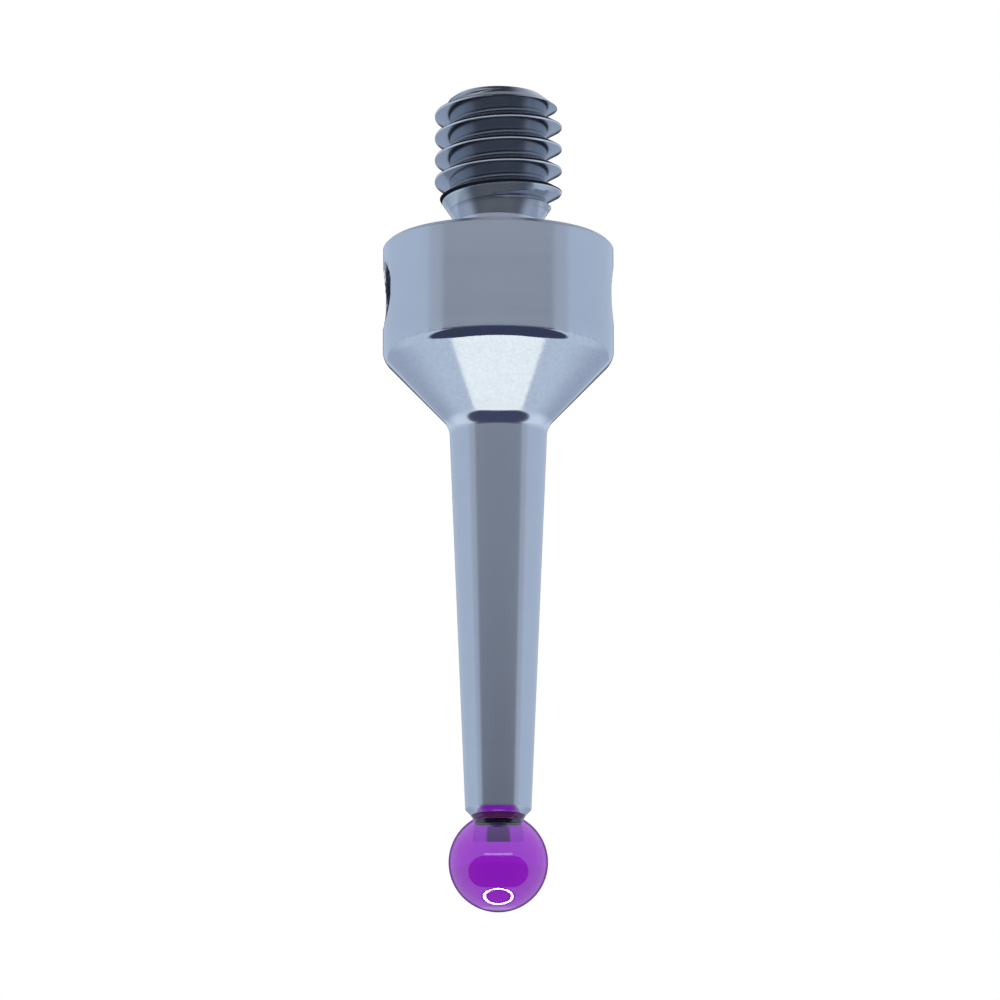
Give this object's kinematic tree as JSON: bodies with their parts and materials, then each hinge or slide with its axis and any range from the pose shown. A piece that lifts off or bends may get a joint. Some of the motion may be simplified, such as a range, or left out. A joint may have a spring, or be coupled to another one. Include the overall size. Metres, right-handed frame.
{
  "type": "cmm stylus",
  "caption": "Touch-probe stylus: threaded steel stud, round hub with a cross hole and a coned underside, tapered stem, and a polished synthetic ruby ball glued to its tip.",
  "frame": {"origin": "on the axis, in the seat face of the hub from which the threaded stud stands", "axes": "+Z along the axis out of the stud's end, so the ball is at -Z; +X along the cross hole"},
  "size_m": [0.0072, 0.0072, 0.0254],
  "materials": {
    "steel": "fine turned stainless steel, polished stem",
    "ruby": "clear violet corundum, ground and polished",
    "adhesive": "cured adhesive, glossy"
  },
  "bodies": {
    "root": {"stylus_body": "steel", "ruby_ball": "ruby", "adhesive_film": "adhesive"}
  },
  "joints": []
}
